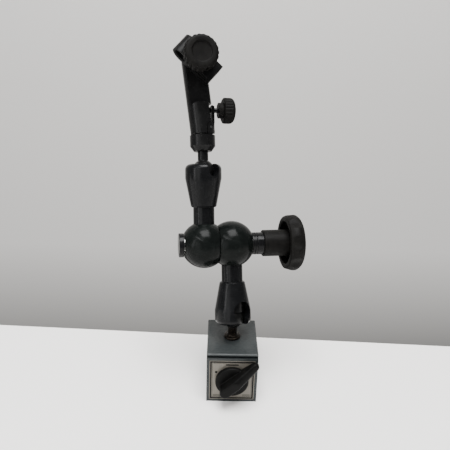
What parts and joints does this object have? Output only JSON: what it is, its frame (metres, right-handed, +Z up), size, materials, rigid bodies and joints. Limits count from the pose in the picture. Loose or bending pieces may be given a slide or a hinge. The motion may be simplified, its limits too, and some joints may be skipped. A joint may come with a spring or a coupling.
{
  "type": "articulated magnetic stand",
  "caption": "Compact articulated magnetic stand for a dial indicator: switchable square base, two ball-jointed arms locked by one central handwheel, fine-adjust head and split stem clamp.",
  "frame": {"origin": "centre of the base's magnetic underside", "axes": "+X to the handwheel's side, -Y towards the front with the switch knob, +Z up out of the base"},
  "size_m": [0.0847, 0.0924, 0.2186],
  "materials": {
    "hammer_paint": "grey hammertone paint, worn through along the edges",
    "brass": "machined brass",
    "label_metal": "brushed aluminium label with printed border lines",
    "magnet": "sintered magnet, dark grey",
    "bright_steel": "turned bright steel",
    "stud_steel": "steel browned by handling and light rust",
    "black_steel": "black oxide steel",
    "black_anodised": "satin black anodised, turned",
    "knuckle_black": "polished black anodised",
    "black_plastic": "moulded black plastic, fine grained"
  },
  "bodies": {
    "base": {"left_pole": "hammer_paint", "right_pole": "hammer_paint", "pole_spacer": "brass", "front_cover": "hammer_paint", "back_cover": "hammer_paint", "cover_screws": "black_steel", "label_plate": "label_metal"},
    "switch": {"rotor_magnet": "magnet", "rotor_shoes": "bright_steel", "switch_shaft": "bright_steel", "rear_stub": "bright_steel", "switch_knob": "black_plastic", "knob_pin": "bright_steel"},
    "lower_stud": {"lower_ball_stud": "stud_steel"},
    "lower_arm": {"lower_socket": "black_anodised", "lower_tube": "black_anodised", "lower_knuckle": "knuckle_black"},
    "lower_lock": {"lower_push_rod": "bright_steel", "lower_ball_seat": "black_steel"},
    "thrust": {"thrust_washer": "black_steel", "thrust_collar": "black_anodised", "right_wedge": "bright_steel"},
    "wheel": {"handwheel": "black_plastic", "handwheel_nut": "brass"},
    "draw": {"draw_bolt": "black_steel", "left_wedge": "bright_steel", "knuckle_spring": "bright_steel"},
    "upper_arm": {"upper_socket": "black_anodised", "upper_tube": "black_anodised", "upper_knuckle": "knuckle_black"},
    "upper_lock": {"upper_push_rod": "bright_steel", "upper_ball_seat": "black_steel"},
    "upper_stud": {"upper_ball_stud": "black_steel"},
    "head": {"head_body": "black_anodised", "pivot_pin": "bright_steel", "fine_spring": "bright_steel"},
    "fine_travel": {"fine_screw": "black_steel"},
    "fine_grip": {"fine_knob": "black_plastic"},
    "tilt": {"tilt_arm": "black_anodised", "clamp_bolt": "black_steel"},
    "clamp": {"clamp_block": "black_anodised"},
    "clamp_thrust": {"clamp_washer": "black_steel"},
    "clamp_grip": {"clamp_knob": "black_plastic", "clamp_knob_nut": "brass"}
  },
  "joints": [
    {"name": "switch_turn", "type": "hinge", "parent": "base", "child": "switch", "pos_m": [0, 0, 0.017], "axis": [0, -1, 0], "range_deg": [0, 90]},
    {"name": "lower_swivel", "type": "hinge", "parent": "base", "child": "lower_stud", "pos_m": [0, 0, 0.0508], "axis": [0, 0, 1], "continuous": true},
    {"name": "lower_fold", "type": "hinge", "parent": "lower_stud", "child": "lower_arm", "pos_m": [0, 0, 0.0508], "axis": [0.7733, 0.6341, 0], "range_deg": [-3.5, 109.3]},
    {"name": "thrust_slide", "type": "slide", "parent": "lower_arm", "child": "thrust", "axis": [0.9873, 0.1573, -0.0204], "range_m": [0, 0.0006]},
    {"name": "handwheel_turn", "type": "hinge", "parent": "thrust", "child": "wheel", "pos_m": [0.02767, 0.02255, 0.0932], "axis": [0.9873, 0.1573, -0.0204], "range_deg": [0, 360]},
    {"name": "draw_slide", "type": "slide", "parent": "lower_arm", "child": "draw", "axis": [-0.9873, -0.1573, 0.0204], "range_m": [0, 0.0006]},
    {"name": "lower_rod_slide", "type": "slide", "parent": "lower_arm", "child": "lower_lock", "axis": [-0.0419, 0.3827, 0.9229], "range_m": [0, 0.0003464]},
    {"name": "elbow_turn", "type": "hinge", "parent": "lower_arm", "child": "upper_arm", "pos_m": [-0.00195, 0.01783, 0.09381], "axis": [-0.9873, -0.1573, 0.0204], "range_deg": [-140, 106]},
    {"name": "upper_rod_slide", "type": "slide", "parent": "upper_arm", "child": "upper_lock", "axis": [0.0314, -0.3199, -0.9469], "range_m": [0, 0.0003464]},
    {"name": "upper_fold", "type": "hinge", "parent": "upper_arm", "child": "upper_stud", "pos_m": [-0.0207, 0.02999, 0.13829], "axis": [0.7779, 0.5954, -0.201], "range_deg": [-21, 93]},
    {"name": "head_swivel", "type": "hinge", "parent": "upper_stud", "child": "head", "pos_m": [-0.0207, 0.02999, 0.13829], "axis": [-0.0455, 0.3723, 0.927], "continuous": true},
    {"name": "fine_screw_travel", "type": "slide", "parent": "head", "child": "fine_travel", "axis": [0.9717, 0.2317, -0.0454], "range_m": [0, 0.00117]},
    {"name": "fine_knob_turn", "type": "hinge", "parent": "fine_travel", "child": "fine_grip", "pos_m": [-0.01076, 0.04692, 0.17297], "axis": [0.9717, 0.2317, -0.0454], "range_deg": [0, 840]},
    {"name": "tilt_arm_tilt", "type": "hinge", "parent": "head", "child": "tilt", "pos_m": [-0.01763, 0.04095, 0.16284], "axis": [-0.2317, 0.8987, -0.3723], "range_deg": [0, 5.92]},
    {"name": "clamp_swing", "type": "hinge", "parent": "tilt", "child": "clamp", "pos_m": [-0.02788, 0.05359, 0.19975], "axis": [-0.2317, 0.8987, -0.3723], "continuous": true},
    {"name": "clamp_knob_travel", "type": "slide", "parent": "tilt", "child": "clamp_thrust", "axis": [0.2317, -0.8987, 0.3723], "range_m": [0, 0.0004]},
    {"name": "clamp_knob_turn", "type": "hinge", "parent": "clamp_thrust", "child": "clamp_grip", "pos_m": [-0.02278, 0.03382, 0.20794], "axis": [0.2317, -0.8987, 0.3723], "range_deg": [0, 180]}
  ],
  "couplings": [
    {"joint": "handwheel_turn", "follows": "thrust_slide", "rad_per_m": 10471},
    {"joint": "draw_slide", "follows": "thrust_slide", "ratio": 0.9999},
    {"joint": "lower_rod_slide", "follows": "thrust_slide", "ratio": 0.57729},
    {"joint": "upper_rod_slide", "follows": "thrust_slide", "ratio": 0.57729},
    {"joint": "fine_knob_turn", "follows": "fine_screw_travel", "rad_per_m": 12565},
    {"joint": "tilt_arm_tilt", "follows": "fine_screw_travel", "rad_per_m": 88.487},
    {"joint": "clamp_knob_turn", "follows": "clamp_knob_travel", "rad_per_m": 7853.2}
  ]
}
